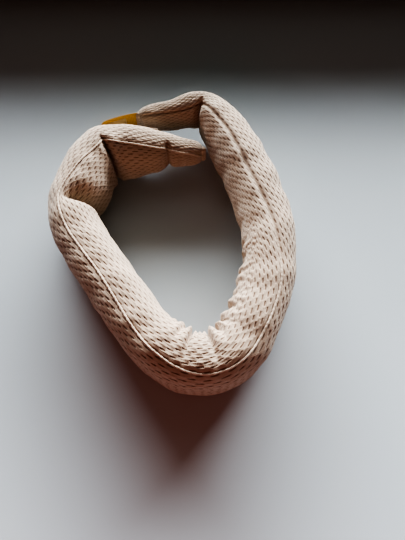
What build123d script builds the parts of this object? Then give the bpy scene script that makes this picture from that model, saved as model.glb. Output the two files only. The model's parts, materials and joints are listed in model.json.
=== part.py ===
from build123d import *
from dataclasses import dataclass
from math import ceil, cos, radians, sin
import os

os.makedirs("parts", exist_ok=True)

# A soft cervical collar: a foam band in a knitted cover, bent into a ring and standing on
# its long edge. The chin side faces -Y, +Y is the back of the neck, where the two ends of
# the band overlap, and +Z is up. Lengths are in millimetres, angles in degrees.

# ---------------------------------------------------------------- driving dimensions
BAND_HEIGHT = 30.0        # chin to mid arm
BAND_THICKNESS = 20.0     # cover included
MID_HEIGHT = BAND_HEIGHT / 2
CHIN_X = 13.2             # middle of the chin, from the centre of the collar's outline
CHIN_Y = -62.3
COVER_WALL = 1.5          # thickness of the spacer knit
CORNER_SHARE = 0.42       # corner radius of the section as a share of its thickness
CREASE_GAP = 0.3          # free play between two panels at a crease
FOAM_SHORT = 5.0          # the foam stops this far inside each end of the cover
STATION_TURN = 16.0       # largest turn between two sections of a loft
STATION_STEP = 10.0       # largest distance between them

# Section of the band: distance from the chin, thickness, height
RIGHT_PROFILE = [
    (0, BAND_THICKNESS, BAND_HEIGHT), (90, BAND_THICKNESS, BAND_HEIGHT), (118, 19, BAND_HEIGHT),
    (138, 16, 25), (150, 13, 19), (160, 11.5, 15), (180, 9, 12),
]
LEFT_PROFILE = [
    (0, BAND_THICKNESS, BAND_HEIGHT), (122, BAND_THICKNESS, BAND_HEIGHT),
    (132, BAND_THICKNESS, 28), (142, 18.5, 24), (150, 16, 19), (160, 12.5, 13), (171, 11, 10),
]

# Panels in order from the chin: name, stretches of the centre line as (length, turn), and
# the turn of the crease at the panel's far end
RIGHT_PANELS = [
    ("chin_right", [(22, 62), (3, 0)], 0),
    ("right_arm_lower", [(27, 18), (27, 22)], 0),
    ("right_arm_upper", [(40, 12), (20, 5), (8, 21)], 40),
    ("outer_flap", [(8, 14), (24, 0)], 0),
]
LEFT_PANELS = [
    ("chin_left", [(11, 32), (15, 20)], 0),
    ("left_arm", [(44, 4), (20, 20)], 20),
    ("left_back", [(15, 8), (20, 18)], 46),
    ("inner_back", [(12, 10), (18, 0)], 6),
    ("inner_end", [(16, 4)], 0),
]

# Closing seam of the cover, a welt along the middle of its top edge
SEAM_WIDTH = 1.4
SEAM_HEIGHT = 0.7
SEAM_LIFT = 0.05

# End of the cover, folded in and sewn shut
HEM_LIP = 2.0
HEM_EDGE = 0.9            # rounding of the lip

# Hook tab, sewn into the hem of the outer flap
TAB_HEIGHT = 11.0
TAB_LENGTH = 14.0         # free part, from its bending line
TAB_ROOT = 3.0            # sewn part beyond the hem
TAB_LEAN = 9.0            # turn of the tab towards the inner panel
TAB_CORNER = 2.0
STRAP_THICKNESS = 1.0
HOOK_THICKNESS = 0.8
HOOK_MARGIN = 1.5         # bare edge of the strap around the hook field
STITCH_WIDTH = 0.6
STITCH_HEIGHT = 0.3
STITCH_INSET = 1.2

# Loop patch on the outer face of the inner panel, by distance from the chin
PATCH_START = 128.0
PATCH_END = 150.0
PATCH_STEPS = 4
PATCH_HEIGHT = 11.0
PATCH_THICKNESS = 1.0
PATCH_GAP = 0.15


# ---------------------------------------------------------------- centre line of the band
@dataclass
class Section:
    """One section across the band; heading points along the band towards its right end."""

    x: float
    y: float
    heading: float
    distance: float
    thickness: float
    height: float
    skew: float = 0.0     # turn of a mitred face away from the square section


def size_at(profile, distance):
    """Thickness and height of the band at a distance from the chin."""
    for (near, near_t, near_h), (far, far_t, far_h) in zip(profile, profile[1:]):
        if distance <= far:
            share = (distance - near) / (far - near)
            return near_t + share * (far_t - near_t), near_h + share * (far_h - near_h)
    return profile[-1][1:]


def arc_end(x, y, heading, length, turn):
    """End of an arc that starts at x, y and turns evenly over its length."""
    half = radians(turn / 2)
    chord = length * (sin(half) / half if half else 1)
    mean = radians(heading + turn / 2)
    return x + chord * cos(mean), y + chord * sin(mean), heading + turn


def lay_out(side_panels, side, profile):
    """Sections of each panel from the chin outward; side is +1 for right, -1 for left."""
    x, y, distance = CHIN_X, CHIN_Y, 0.0
    heading, toward_right = (0.0, 0.0) if side > 0 else (180.0, -180.0)
    skew = 0.0
    laid = {}
    for name, stretches, crease in side_panels:
        sections = [Section(x, y, heading + toward_right, distance, *size_at(profile, distance), skew)]
        for length, turn in stretches:
            count = max(ceil(turn / STATION_TURN), ceil(length / STATION_STEP))
            for _ in range(count):
                x, y, heading = arc_end(x, y, heading, length / count, side * turn / count)
                distance += length / count
                size = size_at(profile, distance)
                sections.append(Section(x, y, heading + toward_right, distance, *size))
        sections[-1].skew = side * crease / 2
        skew = -side * crease / 2
        heading += side * crease
        laid[name] = sections
    return laid


def between(sections, start, end, count):
    """Evenly spaced sections of one panel between two distances from the chin."""
    picked = []
    for index in range(count + 1):
        distance = start + (end - start) * index / count
        near, far = next(
            pair for pair in zip(sections, sections[1:]) if pair[1].distance >= distance - 1e-6
        )
        share = (distance - near.distance) / (far.distance - near.distance)
        turn = far.heading - near.heading
        x, y, heading = arc_end(
            near.x, near.y, near.heading + 180, share * (far.distance - near.distance), share * turn
        )
        size = size_at(LEFT_PROFILE, distance)
        picked.append(Section(x, y, heading - 180, distance, *size))
    return picked


def plane_across(section, shift=0.0, outward=0.0, up=0.0):
    """Plane of a section, moved along the band, out of the ring, and up from mid height."""
    angle = radians(section.heading + section.skew)
    return Plane(
        origin=(
            section.x + shift * cos(angle) + outward * sin(angle),
            section.y + shift * sin(angle) - outward * cos(angle),
            MID_HEIGHT + up,
        ),
        x_dir=(-sin(angle), cos(angle), 0),
        z_dir=(cos(angle), sin(angle), 0),
    )


def end_shifts(count, start, end):
    """Shift along the band of each of a panel's section planes: only its ends move."""
    return [start] + [0.0] * (count - 2) + [-end]


def keep(piece, name):
    """Label a finished piece and write it."""
    piece.part.label = name
    export_step(piece.part, f"parts/{name}.step")


right = lay_out(RIGHT_PANELS, 1, RIGHT_PROFILE)
left = lay_out(LEFT_PANELS, -1, LEFT_PROFILE)

panels = {"chin": left.pop("chin_left")[:0:-1] + right.pop("chin_right")}
panels.update(right)
panels.update({name: sections[::-1] for name, sections in left.items()})


# ---------------------------------------------------------------- foam, cover and seam
def rounded(section, inset):
    """Width, height and corner radius of a section, wider where it is the mitre of a crease."""
    width = (section.thickness - 2 * inset) / cos(radians(section.skew))
    return width, section.height - 2 * inset, CORNER_SHARE * section.thickness - inset


for name, sections in panels.items():
    start_free = name == "inner_end"
    end_free = name == "outer_flap"
    start_gap = 0.0 if start_free else CREASE_GAP / 2
    end_gap = 0.0 if end_free else CREASE_GAP / 2
    cover_shifts = end_shifts(len(sections), start_gap, end_gap)
    foam_shifts = end_shifts(
        len(sections), FOAM_SHORT if start_free else start_gap, FOAM_SHORT if end_free else end_gap
    )

    with BuildPart() as foam:
        for section, shift in zip(sections, foam_shifts):
            with BuildSketch(plane_across(section, shift)):
                RectangleRounded(*rounded(section, COVER_WALL))
        loft(ruled=True)
    keep(foam, f"foam_{name}")

    with BuildPart() as cover:
        for section, shift in zip(sections, cover_shifts):
            with BuildSketch(plane_across(section, shift)):
                RectangleRounded(*rounded(section, 0.0))
        loft(ruled=True)
        for section, shift in zip(sections, cover_shifts):
            with BuildSketch(plane_across(section, shift)):
                RectangleRounded(*rounded(section, COVER_WALL))
        loft(ruled=True, mode=Mode.SUBTRACT)
    keep(cover, f"cover_{name}")

    with BuildPart() as seam:
        for section, shift in zip(sections, cover_shifts):
            rise = section.height / 2 + SEAM_LIFT + SEAM_HEIGHT / 2
            with BuildSketch(plane_across(section, shift, up=rise)):
                Rectangle(SEAM_WIDTH, SEAM_HEIGHT)
        loft(ruled=True)
    keep(seam, f"seam_{name}")


# ---------------------------------------------------------------- sewn ends of the cover
def sew_end(section, outward_sign, name):
    """Plug of folded knit that closes the cover, with a lip beyond its end."""
    with BuildPart() as hem:
        with BuildSketch(plane_across(section, -outward_sign * FOAM_SHORT)):
            RectangleRounded(*rounded(section, COVER_WALL))
        extrude(amount=outward_sign * FOAM_SHORT)
        with BuildSketch(plane_across(section)):
            RectangleRounded(*rounded(section, 0.0))
        extrude(amount=outward_sign * HEM_LIP)
        along = plane_across(section).z_dir * outward_sign
        outer_face = hem.faces().sort_by(Axis((0, 0, 0), tuple(along)))[-1]
        fillet(outer_face.edges(), HEM_EDGE)
    keep(hem, name)


sew_end(panels["inner_end"][0], -1, "hem_inner_end")
sew_end(panels["outer_flap"][-1], 1, "hem_outer_flap")


# ---------------------------------------------------------------- hook tab
flap_end = panels["outer_flap"][-1]


def tab_plane(start, turn, out):
    """Plane of a face of the tab: x runs along the tab, z points out of the ring."""
    angle = radians(flap_end.heading + turn)
    return Plane(
        origin=(start.X + out * sin(angle), start.Y - out * cos(angle), MID_HEIGHT),
        x_dir=(cos(angle), sin(angle), 0),
        z_dir=(sin(angle), -cos(angle), 0),
    )


sewn_line = plane_across(flap_end, HEM_LIP).origin
bend_line = plane_across(flap_end, HEM_LIP + TAB_ROOT + CREASE_GAP).origin
half_strap = STRAP_THICKNESS / 2

with BuildPart() as tab_root:
    with BuildSketch(tab_plane(sewn_line, 0, -half_strap)):
        with Locations((TAB_ROOT / 2, 0)):
            Rectangle(TAB_ROOT, TAB_HEIGHT)
    extrude(amount=STRAP_THICKNESS)
keep(tab_root, "tab_root")

with BuildPart() as tab_strap:
    with BuildSketch(tab_plane(bend_line, TAB_LEAN, -half_strap)) as strap_outline:
        with Locations((TAB_LENGTH / 2, 0)):
            Rectangle(TAB_LENGTH, TAB_HEIGHT)
        fillet(strap_outline.vertices().group_by(Axis.X)[-1], TAB_CORNER)
    extrude(amount=STRAP_THICKNESS)
keep(tab_strap, "tab_strap")

with BuildPart() as hook_field:
    with BuildSketch(tab_plane(bend_line, TAB_LEAN, -half_strap - HOOK_THICKNESS)):
        with Locations((TAB_LENGTH / 2, 0)):
            Rectangle(TAB_LENGTH - 2 * HOOK_MARGIN, TAB_HEIGHT - 2 * HOOK_MARGIN)
    extrude(amount=HOOK_THICKNESS)
keep(hook_field, "hook_field")

with BuildPart() as tab_stitches:
    with BuildSketch(tab_plane(bend_line, TAB_LEAN, half_strap)):
        with Locations((TAB_LENGTH / 2, 0)):
            Rectangle(TAB_LENGTH - 2 * STITCH_INSET, TAB_HEIGHT - 2 * STITCH_INSET)
            Rectangle(
                TAB_LENGTH - 2 * (STITCH_INSET + STITCH_WIDTH),
                TAB_HEIGHT - 2 * (STITCH_INSET + STITCH_WIDTH),
                mode=Mode.SUBTRACT,
            )
    extrude(amount=STITCH_HEIGHT)
keep(tab_stitches, "tab_stitches")


# ---------------------------------------------------------------- loop patch
patch_sections = between(panels["inner_back"][::-1], PATCH_START, PATCH_END, PATCH_STEPS)

with BuildPart() as loop_patch:
    for section in patch_sections:
        outward = section.thickness / 2 + PATCH_GAP + PATCH_THICKNESS / 2
        with BuildSketch(plane_across(section, outward=outward)):
            Rectangle(PATCH_THICKNESS, PATCH_HEIGHT)
    loft(ruled=True)
keep(loop_patch, "loop_patch")

with BuildPart() as patch_stitches:
    for row in (1, -1):
        for section in patch_sections:
            outward = section.thickness / 2 + PATCH_GAP + PATCH_THICKNESS + STITCH_HEIGHT / 2
            rise = row * (PATCH_HEIGHT / 2 - STITCH_INSET)
            with BuildSketch(plane_across(section, outward=outward, up=rise)):
                Rectangle(STITCH_HEIGHT, STITCH_WIDTH)
        loft(ruled=True)
keep(patch_stitches, "patch_stitches")
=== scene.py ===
import json
from math import ceil, cos, pi, radians, sin

import bpy
import numpy as np
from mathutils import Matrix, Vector


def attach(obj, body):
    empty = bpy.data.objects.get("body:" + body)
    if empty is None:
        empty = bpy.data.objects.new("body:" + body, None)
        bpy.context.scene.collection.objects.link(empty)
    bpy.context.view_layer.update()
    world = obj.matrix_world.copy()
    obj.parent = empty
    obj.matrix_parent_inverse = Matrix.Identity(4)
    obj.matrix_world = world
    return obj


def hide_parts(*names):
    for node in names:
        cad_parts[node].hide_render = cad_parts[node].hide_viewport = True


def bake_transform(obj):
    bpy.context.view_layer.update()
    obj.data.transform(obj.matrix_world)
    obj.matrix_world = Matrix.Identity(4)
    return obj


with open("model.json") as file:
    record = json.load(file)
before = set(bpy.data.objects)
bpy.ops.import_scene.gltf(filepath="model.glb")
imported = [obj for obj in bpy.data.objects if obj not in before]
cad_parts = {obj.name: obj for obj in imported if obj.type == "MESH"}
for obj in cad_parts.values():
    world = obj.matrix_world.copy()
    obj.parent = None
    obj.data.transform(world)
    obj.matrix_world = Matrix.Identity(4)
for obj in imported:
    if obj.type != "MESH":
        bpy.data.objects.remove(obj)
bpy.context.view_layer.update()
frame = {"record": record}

# A soft cervical collar. The band is one knitted tube over a foam strip, swept along the same
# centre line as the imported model. Every place on it is given by its distance along the band
# from the chin, positive towards the outer flap, and by its place round the section.
# Lengths are in millimetres until a mesh is made, and angles are in degrees.
MM = 0.001

# ------------------------------------------------------------------ the band's own layout
# Panels from the chin outward: stretches of the centre line as (length, turn), then the turn
# of the crease at the panel's far end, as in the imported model
RIGHT_PANELS = [
    ("chin", [(22, 62), (3, 0)], 0),
    ("right_arm_lower", [(27, 18), (27, 22)], 0),
    ("right_arm_upper", [(40, 12), (20, 5), (8, 21)], 40),
    ("outer_flap", [(8, 14), (24, 0)], 0),
]
LEFT_PANELS = [
    ("chin", [(11, 32), (15, 20)], 0),
    ("left_arm", [(44, 4), (20, 20)], 20),
    ("left_back", [(15, 8), (20, 18)], 46),
    ("inner_back", [(12, 10), (18, 0)], 6),
    ("inner_end", [(16, 4)], 0),
]
# Distance along the band, thickness, height
PROFILE = [
    (-171, 11, 10), (-160, 12.5, 13), (-150, 16, 19), (-142, 18.5, 24), (-132, 20, 28), (-122, 20, 30),
    (90, 20, 30), (118, 19, 30), (138, 16, 25), (150, 13, 19), (160, 11.5, 15), (180, 9, 12),
]
MID_HEIGHT = 15.0
STEPS_PER_MM = 5
CORNER_SHARE = 0.44       # corner radius of the section as a share of its thickness
CREASE_REACH = 9.0        # stretch over which the sections turn into a crease
CREASE_ROUNDING = 3.6     # how far the outer side is rounded along the band at a crease
END_REACH = 6.0           # stretch over which each end of the tube closes
END_SLIT = 2.2            # thickness left at the closed end
END_DROP = 2.5            # height lost at the closed end
SECTION_SMOOTHING = 4.0   # how far along the band the sections are evened out
SEAM_SMOOTHING = 6.0      # and how far the seam line is

# ------------------------------------------------------------------ the knit
ROWS = 54                 # rows of eyelets round the tube
ROW_COLUMNS = 6           # mesh columns in a row
EYELET_STEP = 4.2         # from one eyelet to the next along a row
RING_STEP = EYELET_STEP / 12
EYELET_LENGTH = 2.5
EYELET_WIDTH = 0.20       # as a share of the row
EYELET_DEPTH = 0.26
EYELET_SLANT = 0.11       # how far each leans across its row over half its length
RIB_HEIGHT = 0.09         # rounding of the fabric between two rows
PUCKER_HEIGHT = 0.08      # each small pucker inside the chin
SOFT_HEIGHT = 0.09        # each slow wave of the hand-filled tube
LOOP_DRIFT = 0.11         # how far the loops slide along the band in each wave
GATHERED_DRIFT = 0.22     # and how much further where the cover is gathered
# Distance along the band, and how far the eyelets close on its inner side, as a share
CLOSED_SHARE = [
    (-171, 0.1), (-100, 0.15), (-80, 0.6), (-10, 0.6), (5, 0.45), (75, 0.3), (95, 0),
]

rng = np.random.default_rng(7)


def smoothstep(low, high, value):
    """0 below low, 1 above high, and a smooth step between them."""
    share = np.clip((np.asarray(value, float) - low) / (high - low), 0, 1)
    return share * share * (3 - 2 * share)


def from_top(share):
    """Place round the section from the top, from -0.5 to 0.5; inward is negative."""
    return (share + 0.5) % 1.0 - 0.5


def inner_side(share, low, full, fade, end):
    """1 on the inner side of the band: it rises from low to full and fades out to end."""
    inward = -from_top(share)
    return smoothstep(low, full, inward) * (1 - smoothstep(fade, end, inward))


def bell(value, centre, width):
    """A smooth bump of height 1 around centre."""
    return np.exp(-(((value - centre) / width) ** 2))


def lay_out(side_panels, side, start):
    """Fine steps (distance, x, y, heading) and creases (distance, turn) on one side of the chin."""
    x, y = start
    heading, distance = (0.0, 0.0) if side > 0 else (180.0, 0.0)
    toward_right = 0.0 if side > 0 else -180.0
    steps, creases = [], []
    for _, stretches, crease in side_panels:
        steps.append((side * distance, x, y, heading + toward_right))
        for length, turn in stretches:
            count = int(length * STEPS_PER_MM)
            for _ in range(count):
                middle = radians(heading + side * turn / count / 2)
                x += length / count * cos(middle)
                y += length / count * sin(middle)
                heading += side * turn / count
                distance += length / count
                steps.append((side * distance, x, y, heading + toward_right))
        creases.append((side * distance, crease))
        heading += side * crease
    return steps, creases


chin = [1000 * value for value in frame["record"]["mounts"][0]["pos_m"][:2]]
right_steps, right_creases = lay_out(RIGHT_PANELS, 1, chin)
left_steps, left_creases = lay_out(LEFT_PANELS, -1, chin)
LINE = np.array(left_steps[::-1] + right_steps)
CREASES = [crease for crease in left_creases + right_creases if crease[1]]
LEFT_END, RIGHT_END = LINE[0, 0], LINE[-1, 0]


def on_line(distance):
    """x, y and heading of the centre line, in degrees, at distances along the band."""
    return [np.interp(distance, LINE[:, 0], LINE[:, column]) for column in (1, 2, 3)]


def sections(distance):
    """Thickness and height of the band at distances along it."""
    table = np.array(PROFILE, float)
    return [np.interp(distance, table[:, 0], table[:, column]) for column in (1, 2)]


def round_section(share, thickness, height):
    """Outward and upward place on a rounded section. share runs once round it from the top, outward."""
    turn = (share % 1.0) * 4
    quarter = np.floor(turn).astype(int)
    inside = turn - quarter
    inside = np.where(quarter % 2 == 1, 1 - inside, inside)
    radius = CORNER_SHARE * thickness
    flat = thickness / 2 - radius
    side = height / 2 - radius
    length = inside * (flat + side + radius * pi / 2)
    angle = np.clip((length - flat) / radius, 0, pi / 2)
    across = np.minimum(length, flat) + radius * np.sin(angle)
    up = side + radius * np.cos(angle) - np.clip(length - flat - radius * pi / 2, 0, None)
    across = across * np.where(quarter >= 2, -1, 1)
    up = up * np.where((quarter == 1) | (quarter == 2), -1, 1)
    return across, up


def smooth_along(points, reach, step):
    """Points averaged along the first axis with a bell of that reach."""
    half = int(ceil(2.5 * reach / step))
    weights = np.exp(-0.5 * (np.arange(-half, half + 1) * step / reach) ** 2)
    weights /= weights.sum()
    padded = np.concatenate([points[:1].repeat(half, 0), points, points[-1:].repeat(half, 0)])
    total = np.zeros_like(points)
    for index, weight in enumerate(weights):
        total += weight * padded[index:index + len(points)]
    return total


def normals_of(points):
    """Outward unit normals of a grid that closes round its second axis."""
    along = np.gradient(points, axis=0)
    around = np.roll(points, -1, 1) - np.roll(points, 1, 1)
    normal = np.cross(around, along)
    return normal / np.maximum(np.linalg.norm(normal, axis=2, keepdims=True), 1e-9)


# Seam line: distance along the band, and its place round the section from the top, outward
SEAM_LINE = [
    (-171, -4.5), (-159, -5.2), (-145, -5.4), (-131, -5.1), (-117, -3.7), (-111, -1.7), (-92, 3.0),
    (-79, 3.6), (-50, 1.7), (-24, 3.7), (-8, 4.3), (0, 7.2), (8, 6.6), (21, 4.9), (43, 5.4),
    (58, 1.0), (80, -2.0), (96, -3.6), (125, -3.2), (143, -4.5), (155, -5.5), (179, -2.5),
]
# How far the seam's ridge stands above the groove, and how deep the groove is, along the band
SEAM_LIFT = [(-171, 0.3), (-100, 0.25), (-60, 0.2), (30, 0.2), (50, -0.1), (70, -0.35), (179, -0.35)]
GROOVE_DEPTH = [(-171, 0.1), (-100, 0.4), (-60, 0.35), (40, 0.4), (62, 0.9), (100, 1.2), (179, 0.9)]
# Creases: distance, reach towards the left end, reach towards the right end, how far the inner
# side is drawn in, how far the top and bottom are drawn in, and how far out the fold reaches
FOLDS = [
    (-155, 4, 6, 4.5, 4.0, 7.0),
    (-125, 6, 7, 8.5, 6.5, 11.0),
    (-90, 13, 8, 9.0, 7.5, 5.0),
    (147, 5, 6, 5.0, 5.0, 8.0),
]


def band_grid(inset=0.0, ring_step=RING_STEP, columns=ROWS * ROW_COLUMNS):
    """Grid of points on the band's surface: rings along it, columns round it from the seam."""
    distance = np.linspace(LEFT_END, RIGHT_END, int(round((RIGHT_END - LEFT_END) / ring_step)) + 1)
    x, y, heading = on_line(distance)
    thickness, height = sections(distance)
    thickness = smooth_along(thickness, SECTION_SMOOTHING, ring_step)
    height = smooth_along(height, SECTION_SMOOTHING, ring_step)

    closing = np.minimum(distance - LEFT_END, RIGHT_END - distance) / END_REACH
    rounding = np.sqrt(np.clip(1 - (1 - np.clip(closing, 0, 1)) ** 2, 0, 1))
    thickness = END_SLIT + (thickness - END_SLIT) * rounding
    height = height - END_DROP * (1 - rounding)

    perimeter = 2 * (thickness + height) - (8 - 2 * pi) * CORNER_SHARE * thickness
    seam = np.interp(distance, *np.array(SEAM_LINE).T)
    seam = smooth_along(seam, SEAM_SMOOTHING, ring_step) / perimeter
    share = seam[:, None] + np.arange(columns)[None, :] / columns
    across, up = round_section(share, thickness[:, None] - 2 * inset, height[:, None] - 2 * inset)

    half = thickness[:, None] / 2
    for place, before, after, draw_in, draw_down, out in FOLDS:
        gap = distance - place
        near = np.clip(1 - np.abs(gap) / np.where(gap < 0, before, after), 0, 1)
        depth = (1 - np.sqrt(1 - near ** 2))[:, None]
        apex = half - out
        inner = smoothstep(0, 1, (apex - across) / np.maximum(apex + half, 0.1))
        across = across + np.maximum(apex - across, 0) / np.maximum(apex + half, 0.1) * draw_in * depth
        shrink = 1 - draw_down * depth * inner / (height[:, None] / 2)
        up = up * shrink

    skew = np.zeros_like(distance)
    for place, turn in CREASES:
        gap = distance - place
        near = np.clip(1 - np.abs(gap) / CREASE_REACH, 0, 1)
        skew += np.where(gap <= 0, 1, -1) * near * turn / 2
    angle = np.radians(heading + skew)[:, None]
    stretch = 1 / np.cos(np.radians(skew))[:, None]
    points = np.stack(
        [
            x[:, None] + across * stretch * np.sin(angle),
            y[:, None] - across * stretch * np.cos(angle),
            MID_HEIGHT + up,
        ],
        axis=2,
    )
    rounded = smooth_along(points, CREASE_ROUNDING, ring_step)
    near = sum(bell(distance, place, CREASE_REACH) for place, _ in CREASES)
    outer = smoothstep(-0.3, 0.6, across / np.maximum(half, 0.1))
    weight = (np.clip(near, 0, 1)[:, None] * outer)[:, :, None]
    return distance, share, points * (1 - weight) + rounded * weight


# Gathers of the knit: distance, place round the section from the top (inward is negative, in
# shares of the perimeter), height, width along the band, reach round the section
GATHERS = [
    (-166, -0.20, -0.7, 1.2, 0.10), (-162, -0.22, 0.9, 1.8, 0.10), (-139, -0.26, 1.5, 5.5, 0.10),
    (-106, -0.24, 1.2, 6.0, 0.12),
    (-18.5, -0.20, 1.0, 1.6, 0.10), (-14.6, -0.19, 1.9, 1.9, 0.10), (-11.9, -0.18, -0.8, 0.9, 0.10),
    (-8.4, -0.17, 2.1, 2.3, 0.12), (-5.7, -0.13, -2.0, 0.9, 0.13), (-3.6, -0.19, 1.0, 1.1, 0.12),
    (-0.2, -0.19, 1.0, 1.1, 0.12), (3.2, -0.19, 1.0, 1.1, 0.12), (5.5, -0.13, -2.2, 0.9, 0.13),
    (8.6, -0.18, 2.3, 2.4, 0.13), (12.4, -0.20, -1.2, 1.1, 0.10), (16.4, -0.21, 2.2, 2.1, 0.10),
    (20.3, -0.21, -1.2, 1.2, 0.09), (24.4, -0.21, 2.2, 2.0, 0.09), (28.2, -0.22, -0.8, 1.2, 0.09),
    (31.8, -0.22, 1.8, 1.9, 0.09), (37.5, -0.23, 0.9, 1.8, 0.08), (43.6, -0.22, 1.5, 2.0, 0.08),
    (48.5, -0.22, 1.2, 1.6, 0.08), (60.0, -0.23, 1.0, 2.4, 0.08), (66.0, -0.23, 0.6, 1.8, 0.08),
]


def unbent(distance, share, bend=0.86):
    """The same grid on a band that is bent less and has no folds: the cloth's own size."""
    step = distance[1] - distance[0]
    thickness, height = sections(distance)
    angle = np.radians(bend * smooth_along(on_line(distance)[2], 5.0, step))
    x, y = np.cumsum(np.cos(angle)) * step, np.cumsum(np.sin(angle)) * step
    across, up = round_section(share, thickness[:, None], height[:, None])
    return np.stack(
        [
            x[:, None] + across * np.sin(angle)[:, None],
            y[:, None] - across * np.cos(angle)[:, None],
            MID_HEIGHT + up,
        ],
        axis=2,
    )


def gathers(distance, share):
    """How far the gathers lift the surface."""
    lift = np.zeros(share.shape)
    for place, centre, height, width, reach in GATHERS:
        lift += height * bell(distance[:, None], place, width) * bell(from_top(share), centre, reach)
    puckers = np.zeros(share.shape)
    for _ in range(12):
        length = rng.uniform(2.4, 5.2)
        phase, slant, lobes = rng.uniform(0, 2 * pi), rng.uniform(-3, 3), rng.uniform(6, 14)
        puckers += np.sin(2 * pi * (distance[:, None] / length + slant * share) + phase) * np.cos(
            2 * pi * lobes * share + phase
        )
    pressed = smoothstep(-26, -14, distance) * (1 - smoothstep(55, 80, distance))
    pressed = pressed * (0.5 + 0.4 * smoothstep(8, 18, distance) * (1 - smoothstep(24, 40, distance)))
    inner = inner_side(share, 0.0, 0.12, 0.34, 0.44)
    return lift + PUCKER_HEIGHT * puckers * pressed[:, None] * inner


def drift(distance, share):
    """How far the loops have slid along the band; most where the cover is gathered."""
    slide = np.zeros(share.shape)
    for _ in range(12):
        length, lobes = rng.uniform(7, 26), rng.integers(3, 15)
        phase = rng.uniform(0, 2 * pi, 2)
        slide += np.sin(2 * pi * distance / length + phase[0])[:, None] * np.cos(
            2 * pi * lobes * share + phase[1]
        )
    gathered = smoothstep(6, 14, distance) * (1 - smoothstep(60, 80, distance))
    inner = inner_side(share, 0.0, 0.12, 0.40, 0.5)
    return slide * (LOOP_DRIFT + GATHERED_DRIFT * gathered[:, None] * inner)


def softness(distance, share):
    """Slow unevenness of a hand-filled tube."""
    lift = np.zeros(share.shape)
    for _ in range(14):
        length = rng.uniform(9, 40)
        lobes = rng.integers(1, 4)
        phase = rng.uniform(0, 2 * pi, 2)
        lift += SOFT_HEIGHT * (
            np.sin(2 * pi * distance / length + phase[0])[:, None]
            * np.cos(2 * pi * lobes * share + phase[1])
        )
    return lift


def eyelets(distance, columns):
    """How open the knit is, from 0 to 1, on a grid of distances along the rows."""
    row = np.arange(columns) / (columns / ROWS)
    inside = (row % 1.0) - 0.5
    stagger = np.floor(row) % 2 * EYELET_STEP / 2
    gap = (distance + stagger[None, :] + EYELET_STEP / 2) % EYELET_STEP - EYELET_STEP / 2
    half = EYELET_LENGTH / 2
    inside = inside[None, :] + EYELET_SLANT * np.clip(gap / half, -1.5, 1.5)
    reach = (np.abs(gap) / half) ** 3 + (np.abs(inside) / EYELET_WIDTH) ** 2.5
    return 1 - smoothstep(0.25, 1.3, reach)


def openness(distance, share):
    """How wide the eyelets stand open: the cloth is stretched outside the bends, closed inside."""
    closed = np.interp(distance, *np.array(CLOSED_SHARE).T)
    return 1 - closed[:, None] * inner_side(share, 0.0, 0.22, 0.40, 0.5)


def ribs(columns):
    """Rounding of the fabric between rows of eyelets."""
    inside = (np.arange(columns) / (columns / ROWS)) % 1.0 - 0.5
    return np.cos(2 * pi * inside)[None, :]


# ------------------------------------------------------------------ meshes
def make_object(name, vertices, faces, uvs=None):
    """A mesh object from points in millimetres, with an optional (u, v) for each face corner."""
    mesh = bpy.data.meshes.new(name)
    mesh.from_pydata((np.asarray(vertices, float) * MM).tolist(), [], faces)
    if uvs is not None:
        layer = mesh.uv_layers.new(name="band")
        layer.data.foreach_set("uv", np.asarray(uvs, np.float32).ravel())
    mesh.polygons.foreach_set("use_smooth", [True] * len(mesh.polygons))
    mesh.update()
    piece = bpy.data.objects.new(name, mesh)
    bpy.context.scene.collection.objects.link(piece)
    return piece


def grid_faces(rings, columns):
    """Quads of a grid that closes round its columns, wound so that they face out of the tube."""
    faces = []
    for ring in range(rings - 1):
        for column in range(columns):
            a, b = ring * columns + column, ring * columns + (column + 1) % columns
            faces.append((a, b, b + columns, a + columns))
    return faces


def grid_uvs(u, columns, v_step):
    """(u, v) of each face corner of a closed grid, in the order of grid_faces."""
    u = u.reshape(len(u), -1) + np.zeros(columns)
    after = np.roll(u, -1, 1)
    v = np.arange(columns) * v_step + 0 * u[:-1]
    corners = [(u[:-1], v), (after[:-1], v + v_step), (after[1:], v + v_step), (u[1:], v)]
    return np.stack([np.stack(pair, -1) for pair in corners], 2).reshape(-1, 2)


def tube(name, points, close_start=False, close_end=False, u=None, v_step=1.0):
    """A mesh of a grid that closes round its second axis, with flat caps where asked."""
    rings, columns = points.shape[:2]
    faces = grid_faces(rings, columns)
    uvs = None if u is None else grid_uvs(u, columns, v_step)
    caps = []
    if close_start:
        caps.append(tuple(range(columns))[::-1])
    if close_end:
        caps.append(tuple(range((rings - 1) * columns, rings * columns)))
    if uvs is not None:
        uvs = np.concatenate([uvs] + [np.zeros((columns, 2))] * len(caps))
    return make_object(name, points.reshape(-1, 3), faces + caps, uvs)


def cross_joint(piece):
    """Bakes the piece's placement into its mesh."""
    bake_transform(piece)


# ------------------------------------------------------------------ materials
def new_material(name, roughness=0.85, sheen=0.0, specular=0.3):
    """A material with its own shader, and a function that adds a node to it."""
    material = bpy.data.materials.new(name)
    material.use_nodes = True
    tree = material.node_tree
    shader = tree.nodes["Principled BSDF"]
    shader.inputs["Roughness"].default_value = roughness
    shader.inputs["Specular IOR Level"].default_value = specular
    shader.inputs["Sheen Weight"].default_value = sheen
    shader.inputs["Sheen Roughness"].default_value = 0.5

    def node(kind, inputs=(), **settings):
        made = tree.nodes.new(kind)
        for key, value in settings.items():
            setattr(made, key, value)
        for socket, value in dict(inputs).items():
            if isinstance(value, bpy.types.NodeSocket):
                tree.links.new(value, made.inputs[socket])
            else:
                made.inputs[socket].default_value = value
        return made

    def maths(operation, a, b=0.0):
        return node("ShaderNodeMath", {0: a, 1: b}, operation=operation).outputs[0]

    def link(value, socket):
        tree.links.new(value, shader.inputs[socket])

    return material, node, maths, link


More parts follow.
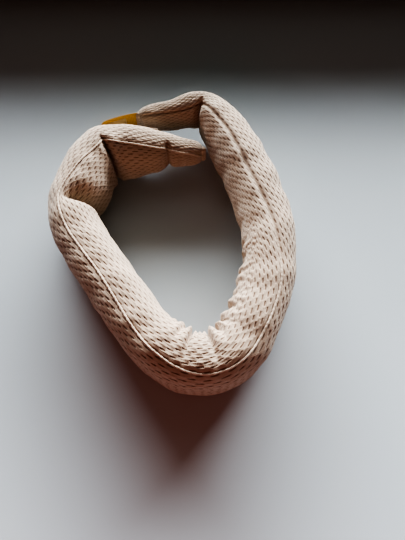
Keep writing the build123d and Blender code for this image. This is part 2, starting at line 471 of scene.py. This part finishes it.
def mixed(node, share, low, high):
    """Colour between two colours or sockets."""
    mix = node("ShaderNodeMix", data_type="RGBA")
    tree = mix.id_data
    for index, value in ((0, share), (6, low), (7, high)):
        if isinstance(value, bpy.types.NodeSocket):
            tree.links.new(value, mix.inputs[index])
        elif index == 0:
            mix.inputs[index].default_value = value
        else:
            mix.inputs[index].default_value = (*value, 1)
    return mix.outputs[2]


# Colours in linear RGB
KNIT_LIGHT = (0.475, 0.365, 0.28)
KNIT_SHADE = (0.285, 0.195, 0.138)
KNIT_WORN = (0.45, 0.325, 0.235)
# Painted shade: the dark inside the eyelet holes
EYELET_PAINTED_SHADE = (0.145, 0.08, 0.047)
FOAM_CELLS = (0.45, 0.36, 0.22)
FOAM_PALE = (0.83, 0.76, 0.58)
FLOOR_COLOURS = ((0.385, 0.42, 0.455), (0.43, 0.465, 0.49))
FRAME_GREY = (0.1, 0.09, 0.08, 1)
ROOM_COLOUR = (0.77, 0.75, 0.56, 1)
ROOM_STRENGTH = 0.028


def knit_material():
    """Spacer knit: rows of long eyelets, staggered, between raised chains of loops."""
    material, node, maths, link = new_material("spacer_knit", 0.9, sheen=0.25)
    place = node("ShaderNodeUVMap", uv_map="band").outputs[0]
    wobble = node("ShaderNodeTexNoise", {"Vector": place, "Scale": 0.9, "Detail": 2.0}).outputs[0]
    split = node("ShaderNodeSeparateXYZ", {0: place})
    along = maths("ADD", split.outputs[0], maths("MULTIPLY", wobble, 0.04))
    row = split.outputs[1]
    parity = maths("MULTIPLY", maths("MODULO", maths("FLOOR", row), 2.0), 0.5)
    phase = maths("ADD", maths("ADD", along, parity), 0.48)
    signed_gap = maths("SUBTRACT", maths("FRACT", phase), 0.5)
    gap = maths("ABSOLUTE", signed_gap)
    lean = maths("MULTIPLY", signed_gap, 2 * EYELET_STEP / EYELET_LENGTH * EYELET_SLANT)
    inside = maths("ADD", maths("SUBTRACT", maths("FRACT", row), 0.5), lean)
    gap_reach = maths("POWER", maths("MULTIPLY", gap, 2 * EYELET_STEP / EYELET_LENGTH), 3.0)
    row_reach = maths("POWER", maths("DIVIDE", maths("ABSOLUTE", inside), EYELET_WIDTH), 2.5)
    reach = maths("ADD", gap_reach, row_reach)
    stretch = node("ShaderNodeAttribute", attribute_name="openness").outputs["Fac"]
    open_share = node(
        "ShaderNodeMapRange",
        {0: reach, 1: 0.15, 2: 1.25, 3: stretch, 4: 0.0},
        interpolation_type="SMOOTHSTEP",
    ).outputs[0]

    # loops of yarn: a chevron that runs along each chain
    lean_of_loops = maths("MULTIPLY", maths("ABSOLUTE", inside), 2.4)
    chevron = maths("ADD", maths("MULTIPLY", along, 9.0), lean_of_loops)
    loops = maths("ABSOLUTE", maths("SUBTRACT", maths("FRACT", chevron), 0.5))
    fibres = node("ShaderNodeTexNoise", {"Vector": place, "Scale": 14.0, "Detail": 4.0}).outputs[0]
    patches = node("ShaderNodeTexCoord").outputs["Object"]
    clouds = node("ShaderNodeTexNoise", {"Vector": patches, "Scale": 60.0, "Detail": 3.0}).outputs[0]

    stitches = node("ShaderNodeTexNoise", {"Vector": place, "Scale": 3.6, "Detail": 2.0}).outputs[0]
    stitches = node("ShaderNodeMapRange", {0: stitches, 1: 0.36, 2: 0.64}).outputs[0]
    tone = maths("ADD", maths("MULTIPLY", loops, 0.7), maths("MULTIPLY", fibres, 0.3))
    tone = maths("ADD", tone, maths("MULTIPLY", stitches, 0.42))
    yarn = mixed(node, tone, KNIT_SHADE, KNIT_LIGHT)
    worn = node("ShaderNodeMapRange", {0: clouds, 1: 0.35, 2: 0.7, 3: 0.0, 4: 0.35}).outputs[0]
    yarn = mixed(node, worn, yarn, KNIT_WORN)
    # the open eyelets are painted dark, as painted shade inside the holes
    colour = mixed(node, maths("MULTIPLY", open_share, 0.93), yarn, EYELET_PAINTED_SHADE)
    link(colour, "Base Color")
    rough = node("ShaderNodeMapRange", {0: fibres, 1: 0.2, 2: 0.8, 3: 0.82, 4: 0.98}).outputs[0]
    link(rough, "Roughness")
    height = maths("ADD", maths("MULTIPLY", loops, 0.6), maths("MULTIPLY", fibres, 0.5))
    height = maths("SUBTRACT", height, open_share)
    bump = node("ShaderNodeBump", {"Height": height, "Strength": 0.55, "Distance": 0.0003})
    link(bump.outputs[0], "Normal")
    return material


def cloth_material(name, light, dark, step=0.0008, sheen=0.2, strength=0.4):
    """Plain woven or fuzzy cloth: crossed threads with uneven colour."""
    material, node, maths, link = new_material(name, 0.88, sheen=sheen)
    place = node("ShaderNodeTexCoord").outputs["Object"]
    split = node("ShaderNodeSeparateXYZ", {0: place})
    flat = maths("ADD", split.outputs[0], split.outputs[1])
    one = maths("SINE", maths("MULTIPLY", flat, 2 * pi / step))
    two = maths("SINE", maths("MULTIPLY", split.outputs[2], 2 * pi / step))
    threads = maths("MULTIPLY", maths("ADD", one, two), 0.25)
    fuzz = node("ShaderNodeTexNoise", {"Vector": place, "Scale": 1800.0, "Detail": 3.0}).outputs[0]
    share = maths("ADD", maths("ADD", threads, 0.25), maths("MULTIPLY", fuzz, 0.6))
    link(mixed(node, share, dark, light), "Base Color")
    rough = node("ShaderNodeMapRange", {0: fuzz, 1: 0.2, 2: 0.8, 3: 0.75, 4: 0.98}).outputs[0]
    link(rough, "Roughness")
    bump = node("ShaderNodeBump", {"Height": share, "Strength": strength, "Distance": 0.0002})
    link(bump.outputs[0], "Normal")
    return material


def foam_material():
    """Open-cell foam: pale yellow with small dark cells."""
    material, node, maths, link = new_material("open_cell_foam", 0.95)
    place = node("ShaderNodeTexCoord").outputs["Object"]
    cells = node("ShaderNodeTexVoronoi", {"Vector": place, "Scale": 900.0}).outputs[0]
    clouds = node("ShaderNodeTexNoise", {"Vector": place, "Scale": 80.0, "Detail": 2.0}).outputs[0]
    share = maths("ADD", maths("MULTIPLY", cells, 0.9), maths("MULTIPLY", clouds, 0.3))
    link(mixed(node, share, FOAM_CELLS, FOAM_PALE), "Base Color")
    bump = node("ShaderNodeBump", {"Height": cells, "Strength": 0.6, "Distance": 0.0004})
    link(bump.outputs[0], "Normal")
    return material


def paint(piece, material):
    """One material on a piece."""
    piece.data.materials.clear()
    piece.data.materials.append(material)
    return piece


KNIT = knit_material()
SEAM_CLOTH = cloth_material("seam_cloth", (0.58, 0.46, 0.36), (0.38, 0.28, 0.21), step=0.0007)
FOAM = foam_material()
WEBBING = cloth_material("amber_webbing", (0.62, 0.37, 0.09), (0.40, 0.20, 0.03), step=0.0009)
HOOKS = cloth_material("hook_nylon", (0.62, 0.47, 0.24), (0.46, 0.32, 0.14), step=0.0005, sheen=0.0)
PILE = cloth_material("loop_pile", (0.56, 0.45, 0.36), (0.33, 0.23, 0.165), step=0.0011, sheen=0.5)
THREAD = cloth_material("sewing_thread", (0.62, 0.50, 0.36), (0.38, 0.27, 0.165), step=0.0004)


# ------------------------------------------------------------------ cover
CLOTH_RINGS = 6           # every so many rings and columns go into the cloth simulation
CLOTH_FRAMES = 16
CLOTH_SCALE = 10.0        # it is run on an enlarged copy
CLOTH_LIMIT = 1.1         # the furthest that the cloth may move out or in
CLOTH_SMOOTHING = 0.7     # how far its movement is evened out along the band
SECTION_PERIMETER = 92.0  # round the band at its full size
GROOVE_WIDTH = 1.0        # half width of the seam's groove
END_PLAIN = 5.0           # stretch at each end over which all relief fades out


def settle(distance, share, surface, facing):
    """How far the knit moves out or in when it is let go over its filling, from a cloth simulation."""
    rings = np.arange(0, len(distance), CLOTH_RINGS)
    picked = np.ix_(rings, np.arange(0, surface.shape[1], ROW_COLUMNS))
    start = surface[picked]
    columns = start.shape[1]
    own_size = unbent(distance[rings], share[picked])
    last = (len(rings) - 1) * columns
    faces = grid_faces(len(rings), columns)
    faces += [tuple(range(columns))[::-1], tuple(range(last, last + columns))]
    piece = make_object("settling_cover", (start * CLOTH_SCALE).reshape(-1, 3), faces)
    piece.shape_key_add(name="bent")
    key = piece.shape_key_add(name="own_size")
    key.data.foreach_set("co", (own_size * CLOTH_SCALE * MM).astype(np.float32).ravel())

    # the outer side is pulled tight by the bend and the seam is sewn, so both stay where they are
    free = inner_side(share[picked], 0.03, 0.12, 0.38, 0.47)
    held = piece.vertex_groups.new(name="held")
    for index, value in enumerate(1 - free.ravel()):
        held.add([index], float(value), "REPLACE")
    knit = piece.modifiers.new("knit", "CLOTH")
    knit.settings.quality = 7
    knit.settings.mass = 0.15
    knit.settings.tension_stiffness = 20
    knit.settings.compression_stiffness = 20
    knit.settings.shear_stiffness = 8
    knit.settings.bending_stiffness = 0.6
    knit.settings.use_pressure = True
    knit.settings.uniform_pressure_force = 4
    knit.settings.effector_weights.gravity = 0
    knit.settings.vertex_group_mass = "held"
    knit.settings.rest_shape_key = key
    knit.collision_settings.use_collision = False
    knit.point_cache.frame_end = CLOTH_FRAMES
    for frame_number in range(1, CLOTH_FRAMES + 1):
        bpy.context.scene.frame_set(frame_number)
    settled = piece.evaluated_get(bpy.context.evaluated_depsgraph_get())
    places = np.zeros(3 * len(settled.data.vertices), np.float32)
    settled.data.vertices.foreach_get("co", places)
    moved = places.reshape(start.shape) / (CLOTH_SCALE * MM) - start
    bpy.context.scene.frame_set(1)
    bpy.data.objects.remove(piece)

    out = (moved * facing[picked]).sum(2)
    out = CLOTH_LIMIT * np.tanh(out / CLOTH_LIMIT)
    out = (np.roll(out, 1, 1) + 2 * out + np.roll(out, -1, 1)) / 4
    all_columns = np.arange(surface.shape[1]) / ROW_COLUMNS
    wrapped = np.concatenate([out, out[:, :1]], axis=1)
    fine = np.stack([np.interp(all_columns, np.arange(columns + 1), row) for row in wrapped])
    fine = np.stack([np.interp(distance, distance[rings], column) for column in fine.T], axis=1)
    return smooth_along(fine, CLOTH_SMOOTHING, RING_STEP)


distance, share, surface = band_grid()
columns = ROWS * ROW_COLUMNS
facing = normals_of(surface)
from_seam = np.minimum(np.arange(columns), columns - np.arange(columns)) * SECTION_PERIMETER / columns
settled = settle(distance, share, surface, facing)
groove_depth = np.interp(distance, *np.array(GROOVE_DEPTH).T)
groove = -groove_depth[:, None] * bell(from_seam, 0, GROOVE_WIDTH)[None, :]
ends = smoothstep(0, END_PLAIN, np.minimum(distance - LEFT_END, RIGHT_END - distance))[:, None]
lift = gathers(distance, share) + softness(distance, share) + settled + groove
shape = surface + facing * (lift * ends)[:, :, None]
facing = normals_of(shape)
along_rows = distance[:, None] + drift(distance, share)
open_knit = eyelets(along_rows, columns)
open_scale = openness(distance, share)
relief = RIB_HEIGHT * ribs(columns) - EYELET_DEPTH * open_knit * open_scale
away_from_seam = smoothstep(0.8, 1.6, from_seam)[None, :]
cover_points = shape + facing * (relief * away_from_seam * ends)[:, :, None]

# Cuts at mid panel, and the joint that each stretch of cover crosses
STRETCHES = [
    ("cover_inner_end", -180.0, -140.0, "inner_end", "inner_back", -155.0, ["cover_inner_end"]),
    ("cover_inner_back", -140.0, -107.5, "inner_back", "left_back", -125.0, ["cover_inner_back"]),
    ("cover_left_back", -107.5, -58.0, "left_back", "left_arm", -90.0, ["cover_left_back"]),
    ("cover_left_arm", -58.0, 0.0, "left_arm", "chin", -26.0, ["cover_left_arm", "cover_chin"]),
    ("cover_right_arm_lower", 0.0, 52.0, "chin", "right_arm_lower", 25.0, ["cover_right_arm_lower"]),
    (
        "cover_right_arm_upper", 52.0, 113.0,
        "right_arm_lower", "right_arm_upper", 79.0, ["cover_right_arm_upper"],
    ),
    ("cover_outer_flap", 113.0, 190.0, "right_arm_upper", "outer_flap", 147.0, ["cover_outer_flap"]),
]

WELT_HALF_WIDTH = 0.44
WELT_HALF_HEIGHT = 0.32
WELT_SIDES = 12
WELT_PITCH = 1.7          # from one stitch of the seam to the next
WELT_SWELL = 0.16         # how much the welt swells at each stitch, as a share


def welt(points, normals):
    """Thin stitched ridge along the seam; it stands up or is sunk between the two edges."""
    base = points[:, 0]
    up = normals[:, 0]
    across = points[:, 1] - points[:, -1]
    across /= np.linalg.norm(across, axis=1, keepdims=True)
    turn = np.linspace(0, 2 * pi, WELT_SIDES, endpoint=False)
    stitch = 1 + WELT_SWELL * np.sin(2 * pi * distance / WELT_PITCH)[:, None]
    width = WELT_HALF_WIDTH * stitch
    lift = np.interp(distance, *np.array(SEAM_LIFT).T)[:, None]
    return (
        base[:, None]
        + across[:, None] * (width * np.sin(turn))[:, :, None]
        + up[:, None] * (lift + WELT_HALF_HEIGHT * stitch * np.cos(turn))[:, :, None]
    )


seam_points = welt(shape, facing)
for name, start, end, left_body, right_body, joint_at, nodes in STRETCHES:
    rings = np.flatnonzero((distance >= start - RING_STEP / 2) & (distance <= end + RING_STEP / 2))
    chosen = slice(rings[0], rings[-1] + 1)
    at_start, at_end = rings[0] == 0, rings[-1] == len(distance) - 1
    cover = tube(
        f"{name}_knit", cover_points[chosen], at_start, at_end,
        along_rows[chosen] / EYELET_STEP, 1 / ROW_COLUMNS,
    )
    opened = cover.data.attributes.new("openness", "FLOAT", "POINT")
    opened.data.foreach_set("value", open_scale[chosen].astype(np.float32).ravel())
    paint(cover, KNIT)
    cross_joint(cover)
    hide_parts(*nodes)

    seam = tube(f"{name}_welt", seam_points[chosen], True, True)
    paint(seam, SEAM_CLOTH)
    cross_joint(seam)
    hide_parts(*[node.replace("cover_", "seam_") for node in nodes])

# ------------------------------------------------------------------ foam
FOAM_INSET = 2.6
FOAM_STEP = 1.0
FOAM_COLUMNS = 48
FOAM_GAP = 0.3            # each strip stops this far from its joints
FOAM_PANELS = [
    ("inner_end", -166, -155), ("inner_back", -155, -125), ("left_back", -125, -90),
    ("left_arm", -90, -26), ("chin", -26, 25), ("right_arm_lower", 25, 79),
    ("right_arm_upper", 79, 147), ("outer_flap", 147, 174),
]
foam_distance, _, foam_surface = band_grid(FOAM_INSET, FOAM_STEP, FOAM_COLUMNS)
for name, start, end in FOAM_PANELS:
    inside = (foam_distance > start + FOAM_GAP) & (foam_distance < end - FOAM_GAP)
    strip = tube(f"foam_{name}_strip", foam_surface[inside], True, True)
    paint(strip, FOAM)
    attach(strip, name)
    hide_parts(f"foam_{name}")


# ------------------------------------------------------------------ small sewn pieces
THREAD_SIDES = 6
# Place along a thread, and its radius there, both as shares
THREAD_RINGS = ((0, 0.3), (0.12, 0.8), (0.5, 1.0), (0.88, 0.8), (1, 0.3))


def threads(name, lines, radius=0.17):
    """Short raised threads, each from one point to another, as one mesh."""
    vertices, faces = [], []
    turn = np.linspace(0, 2 * pi, THREAD_SIDES, endpoint=False)
    last = (len(THREAD_RINGS) - 1) * THREAD_SIDES
    for start, end in lines:
        start, end = np.array(start, float), np.array(end, float)
        along = (end - start) / np.linalg.norm(end - start)
        side = np.cross(along, (0.31, 0.17, 0.93))
        side /= np.linalg.norm(side)
        up = np.cross(side, along)
        first = len(vertices)
        for share, scale in THREAD_RINGS:
            ring = radius * scale * (np.cos(turn)[:, None] * side + np.sin(turn)[:, None] * up)
            vertices.extend(start + share * (end - start) + ring)
        rings = grid_faces(len(THREAD_RINGS), THREAD_SIDES)
        faces.extend(tuple(first + index for index in face) for face in rings)
        faces.append(tuple(first + index for index in range(THREAD_SIDES - 1, -1, -1)))
        faces.append(tuple(first + last + index for index in range(THREAD_SIDES)))
    return make_object(name, vertices, faces)


PLATE_ROWS = 17


def plate(name, centres, outward, half_heights, thickness, edge=0.35):
    """A soft flat strip that stands upright along a path, with rounded edges."""
    share = np.concatenate([np.linspace(1, -1, PLATE_ROWS), np.linspace(-1, 1, PLATE_ROWS)])
    face = np.concatenate([np.ones(PLATE_ROWS), -np.ones(PLATE_ROWS)])
    half = np.asarray(half_heights, float)[:, None]
    reach = np.clip((np.abs(share)[None, :] * half - (half - edge)) / edge, 0, 1)
    depth = face[None, :] * thickness / 2 * np.sqrt(np.clip(1 - 0.96 * reach ** 2, 0, 1))
    points = centres[:, None, :] + outward[:, None, :] * depth[:, :, None]
    points[:, :, 2] += share[None, :] * half
    return tube(name, points, True, True)


def along_and_out(heading):
    """Unit vectors along the band and out of the ring for a heading in degrees."""
    angle = np.radians(heading)
    zero = np.zeros_like(angle)
    along = np.stack([np.cos(angle), np.sin(angle), zero], -1)
    return along, np.stack([along[..., 1], -along[..., 0], zero], -1)


# Sewn ends of the cover: a folded lip over the closed end of the tube, with a row of stitches
LIP_SHIFTS = np.array([-1.4, -0.6, 0.0, 0.6, 1.2, 1.6, 1.85, 1.95])
LIP_THICKNESS = np.array([2.2, 2.9, 3.1, 3.0, 2.5, 1.8, 0.9, 0.1])
LIP_SHORT = np.array([1.2, 0.4, 0.0, 0.0, 0.3, 0.8, 1.5, 2.2])
LIP_COLUMNS = 48
LIP_OPENNESS = 0.8
LIP_STITCH_PITCH = 1.7
LIP_STITCH_LENGTH = 1.15
LIP_STITCH_ALONG = 0.55   # from the end of the tube to the row of stitches
LIP_STITCH_OUT = 1.52     # from the middle of the lip to the row of stitches


def sewn_lip(name, place, sign, body, node):
    """Lip of one end; sign is the direction along the band in which it points."""
    x, y, heading = on_line(place)
    along, outward = along_and_out(heading)
    height = sections(place)[1] - 1.6
    order = slice(None, None, int(sign))
    shifts = sign * LIP_SHIFTS[order]
    place_round = np.arange(LIP_COLUMNS) / LIP_COLUMNS
    across, up = round_section(
        place_round[None, :], LIP_THICKNESS[order][:, None], height - LIP_SHORT[order][:, None]
    )
    centre = np.array([x, y, MID_HEIGHT])
    points = (
        centre + along * shifts[:, None, None] + outward * across[:, :, None]
        + np.array([0, 0, 1]) * up[:, :, None]
    )
    lip = tube(f"{name}_lip", points, True, True, (place + shifts) / EYELET_STEP, ROWS / LIP_COLUMNS)
    opened = lip.data.attributes.new("openness", "FLOAT", "POINT")
    opened.data.foreach_set("value", [LIP_OPENNESS] * len(lip.data.vertices))
    paint(lip, KNIT)
    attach(lip, body)
    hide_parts(node)

    lines = []
    for side in (1, -1):
        for step in np.arange(-height / 2 + 1.6, height / 2 - 1.5, LIP_STITCH_PITCH):
            foot = centre + along * sign * LIP_STITCH_ALONG + outward * side * LIP_STITCH_OUT
            lines.append((foot + (0, 0, step), foot + (0, 0, step + LIP_STITCH_LENGTH)))
    sewing = threads(f"{name}_stitches", lines)
    paint(sewing, THREAD)
    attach(sewing, body)


sewn_lip("hem_inner_end", LEFT_END, -1.0, "inner_end", "hem_inner_end")
sewn_lip("hem_outer_flap", RIGHT_END, 1.0, "outer_flap", "hem_outer_flap")

# Hook tab: amber strap from inside the hem to its free end, with hooks on its inner face
TAB_START = 1.0           # where the strap leaves the cover, past the end of the tube
TAB_BEND = 5.3            # its bending line
TAB_LENGTH = 14.0         # free part
TAB_LEAN = 9.0
TAB_HEIGHT = 11.0
TAB_CORNER = 2.5
TAB_THICKNESS = 1.0
HOOK_MARGIN = 1.5
HOOK_PITCH = 1.0
SEWN_INSET = 1.3          # from the strap's edge to its stitches
SEWN_PITCH = 1.75
SEWN_LENGTH = 1.2
THREAD_LIFT = 0.06        # a sewn thread's middle, out of the face that it lies on

flap_x, flap_y, flap_heading = on_line(RIGHT_END)
flap_end = np.array([flap_x, flap_y, MID_HEIGHT])


def tab_path(run):
    """Places along the middle of the strap, and the way out of the ring there."""
    run = np.asarray(run, float)
    first, _ = along_and_out(np.full_like(run, flap_heading))
    heading = flap_heading + TAB_LEAN * smoothstep(TAB_BEND - 1, TAB_BEND + 1, run)
    second, outward = along_and_out(heading)
    before = np.minimum(run, TAB_BEND)[:, None]
    after = np.maximum(run - TAB_BEND, 0)[:, None]
    bow = 0.5 * np.sin(pi * np.clip((run - TAB_BEND) / TAB_LENGTH, 0, 1))[:, None]
    return flap_end + first * before + second * after + outward * bow, outward


run = np.linspace(TAB_START, TAB_BEND + TAB_LENGTH, 70)
centres, outward = tab_path(run)
to_end = np.clip(run - (TAB_BEND + TAB_LENGTH - TAB_CORNER), 0, TAB_CORNER)
half_heights = TAB_HEIGHT / 2 - TAB_CORNER + np.sqrt(np.maximum(TAB_CORNER ** 2 - to_end ** 2, 0.02))
strap = plate("tab_strap_webbing", centres, outward, half_heights, TAB_THICKNESS)
paint(strap, WEBBING)
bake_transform(strap)
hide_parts("tab_root", "tab_strap")

hook_run = np.linspace(TAB_BEND + HOOK_MARGIN, TAB_BEND + TAB_LENGTH - HOOK_MARGIN, 24)
centres, outward = tab_path(hook_run)
half_field = TAB_HEIGHT / 2 - HOOK_MARGIN
base = plate(
    "hook_field_base", centres - outward * (TAB_THICKNESS / 2 + 0.15), outward,
    np.full(24, half_field), 0.4, 0.2,
)
paint(base, HOOKS)
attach(base, "hook_tab")
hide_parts("hook_field")
lines = []
for place in np.arange(hook_run[0] + 0.5, hook_run[-1] - 0.3, HOOK_PITCH):
    centre, out = [value[0] for value in tab_path([place])]
    for rise in np.arange(-half_field + 0.5, half_field - 0.3, HOOK_PITCH):
        foot = centre - out * (TAB_THICKNESS / 2 + 0.3) + (0, 0, rise)
        lines.append((foot, foot - out * 0.45 + (0, 0, 0.1)))
        lines.append((foot - out * 0.40 + (0, 0, 0.05), foot - out * 0.32 + (0, 0, 0.42)))
hooks = threads("hook_field_hooks", lines, 0.10)
paint(hooks, HOOKS)
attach(hooks, "hook_tab")

lines = []
sewn_run = (TAB_BEND + SEWN_INSET, TAB_BEND + TAB_LENGTH - SEWN_INSET)
for rise in (TAB_HEIGHT / 2 - SEWN_INSET, SEWN_INSET - TAB_HEIGHT / 2):
    for place in np.arange(sewn_run[0], sewn_run[1] - SEWN_LENGTH, SEWN_PITCH):
        pair, out = tab_path([place, place + SEWN_LENGTH])
        pair = pair + out * (TAB_THICKNESS / 2 + THREAD_LIFT)
        lines.append((pair[0] + (0, 0, rise), pair[1] + (0, 0, rise)))
for place in sewn_run:
    centre, out = [value[0] for value in tab_path([place])]
    foot = centre + out * (TAB_THICKNESS / 2 + THREAD_LIFT)
    lowest, highest = SEWN_INSET - TAB_HEIGHT / 2 + 0.3, TAB_HEIGHT / 2 - SEWN_INSET - 1.1
    for rise in np.arange(lowest, highest, SEWN_PITCH):
        lines.append((foot + (0, 0, rise), foot + (0, 0, rise + SEWN_LENGTH)))
sewing = threads("tab_stitches_thread", lines)
paint(sewing, THREAD)
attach(sewing, "hook_tab")
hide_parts("tab_stitches")

# Loop patch on the outside of the inner end, which the hooks hold on
PATCH_PLACES = (-150.0, -128.0)
PATCH_HEIGHT = 11.0
PATCH_THICKNESS = 1.0
PATCH_LIFT = 0.35
PATCH_SEWN_INSET = 1.2
PATCH_SEWN_PITCH = 1.8
PATCH_SEWN_LENGTH = 1.25
PILE_PITCH = 0.75
PILE_HALF_LENGTH = 0.45


def patch_path(place):
    """Middle of the patch along the outer face of the band, and the way out of the ring."""
    x, y, heading = on_line(place)
    _, out = along_and_out(heading)
    thickness = sections(place)[0]
    centre = np.stack([x, y, np.full_like(x, MID_HEIGHT)], -1)
    return centre + out * (thickness / 2 + PATCH_LIFT + PATCH_THICKNESS / 2)[:, None], out


place = np.linspace(*PATCH_PLACES, 60)
centres, outward = patch_path(place)
patch = plate("loop_patch_cloth", centres, outward, np.full(60, PATCH_HEIGHT / 2), PATCH_THICKNESS)
paint(patch, PILE)
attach(patch, "inner_back")
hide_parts("loop_patch")
lines = []
for place in np.arange(PATCH_PLACES[0] + 1.6, PATCH_PLACES[1] - 1.4, PILE_PITCH):
    for rise in np.arange(-PATCH_HEIGHT / 2 + 2.0, PATCH_HEIGHT / 2 - 1.9, PILE_PITCH):
        centre, out = [value[0] for value in patch_path(np.array([place + rng.uniform(-0.2, 0.2)]))]
        along = np.array([-out[1], out[0], 0])
        lean = rng.uniform(0, 2 * pi)
        swing = PILE_HALF_LENGTH * (cos(lean) * along + sin(lean) * np.array([0, 0, 1]))
        foot = centre + out * (PATCH_THICKNESS / 2 + 0.08) + (0, 0, rise)
        lines.append((foot - swing, foot + swing))
pile = threads("loop_patch_pile", lines, 0.13)
paint(pile, PILE)
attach(pile, "inner_back")
lines = []
for rise in (PATCH_SEWN_INSET - PATCH_HEIGHT / 2, PATCH_HEIGHT / 2 - PATCH_SEWN_INSET):
    for place in np.arange(PATCH_PLACES[0] + 0.8, PATCH_PLACES[1] - 1.2, PATCH_SEWN_PITCH):
        pair, out = patch_path(np.array([place, place + PATCH_SEWN_LENGTH]))
        pair = pair + out * (PATCH_THICKNESS / 2 + THREAD_LIFT)
        lines.append((pair[0] + (0, 0, rise), pair[1] + (0, 0, rise)))
sewing = threads("patch_stitches_thread", lines)
paint(sewing, THREAD)
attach(sewing, "inner_back")
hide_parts("patch_stitches")

# ------------------------------------------------------------------ floor, light and camera
FLOOR_REACH = 3.0         # metres from the middle to each edge
floor_mesh = bpy.data.meshes.new("floor")
corners = [(x * FLOOR_REACH, y * FLOOR_REACH, 0) for x, y in ((-1, -1), (1, -1), (1, 1), (-1, 1))]
floor_mesh.from_pydata(corners, [], [(0, 1, 2, 3)])
floor = bpy.data.objects.new("floor", floor_mesh)
bpy.context.scene.collection.objects.link(floor)
floor_material, floor_node, _, floor_link = new_material("pale_floor", 0.6, specular=0.3)
floor_place = floor_node("ShaderNodeTexCoord").outputs["Object"]
floor_noise = floor_node(
    "ShaderNodeTexNoise", {"Vector": floor_place, "Scale": 9.0, "Detail": 3.0}
).outputs[0]
floor_link(mixed(floor_node, floor_noise, *FLOOR_COLOURS), "Base Color")
floor.data.materials.append(floor_material)


def area_light(name, place, target, width, height, power, colour):
    """A rectangular soft light that looks at a target, in metres."""
    lamp = bpy.data.lights.new(name, "AREA")
    lamp.shape = "RECTANGLE"
    lamp.size = width
    lamp.size_y = height
    lamp.energy = power
    lamp.color = colour
    holder = bpy.data.objects.new(name, lamp)
    holder.location = place
    holder.rotation_euler = (Vector(target) - Vector(place)).to_track_quat("-Z", "Y").to_euler()
    bpy.context.scene.collection.objects.link(holder)


area_light("window", (0.25, 3.0, 1.0), (0.0, 0.0, 0.0), 4.7, 1.16, 720.0, (0.93, 0.985, 1.0))
area_light("ceiling", (0.15, 0.65, 1.0), (0.0, 0.0, 0.0), 0.5, 0.5, 0.5, (1.0, 0.95, 0.88))
area_light("room_fill", (-0.03, -0.30, 0.14), (0.0, -0.05, 0.0), 0.3, 0.12, 0.17, (1.0, 0.30, 0.23))

# Low window frame behind the object, a board with thinner and thinner slats above it: it shades
# the floor there, most at the back, and the camera does not see it
FRAME_PLACE = 0.19        # metres behind the middle of the ring
FRAME_BOARD = 0.04
FRAME_SLATS = 6
SLATS_HEIGHT = 0.04
SLAT_PITCH = SLATS_HEIGHT / FRAME_SLATS
bars = [(0.0, FRAME_BOARD)]
for slat in range(FRAME_SLATS):
    low = FRAME_BOARD + slat * SLAT_PITCH
    bars.append((low, low + SLAT_PITCH * (1 - (slat + 0.5) / FRAME_SLATS)))
frame_points, frame_faces = [], []
for low, high in bars:
    first = len(frame_points)
    frame_points += [(x, FRAME_PLACE, z) for x, z in ((-1, low), (1, low), (1, high), (-1, high))]
    frame_faces.append(tuple(range(first, first + 4)))
frame_mesh = bpy.data.meshes.new("window_frame")
frame_mesh.from_pydata(frame_points, [], frame_faces)
window_frame = bpy.data.objects.new("window_frame", frame_mesh)
window_frame.visible_camera = False
bpy.context.scene.collection.objects.link(window_frame)
frame_material, *_ = new_material("grey_frame", 0.8)
frame_shader = frame_material.node_tree.nodes["Principled BSDF"]
frame_shader.inputs["Base Color"].default_value = FRAME_GREY
frame_mesh.materials.append(frame_material)
world = bpy.data.worlds.new("room")
world.use_nodes = True
world.node_tree.nodes["Background"].inputs[0].default_value = ROOM_COLOUR
world.node_tree.nodes["Background"].inputs[1].default_value = ROOM_STRENGTH
bpy.context.scene.world = world
view = bpy.context.scene.view_settings
view.view_transform = "AgX"
view.look = "AgX - High Contrast"
view.exposure = 0.35

CAMERA_LENS = 28.07
CAMERA_FROM_CHIN = (0.9, -34.2)   # across, and back from the chin
CAMERA_HEIGHT = 172.8
CAMERA_TILT = 25          # from straight down
camera_data = bpy.data.cameras.new("camera")
camera_data.lens = CAMERA_LENS
camera_data.clip_start = 0.01
camera = bpy.data.objects.new("camera", camera_data)
camera.location = (
    (chin[0] + CAMERA_FROM_CHIN[0]) * MM, (chin[1] + CAMERA_FROM_CHIN[1]) * MM, CAMERA_HEIGHT * MM
)
camera.rotation_euler = (radians(CAMERA_TILT), 0, 0)
bpy.context.scene.collection.objects.link(camera)
bpy.context.scene.camera = camera
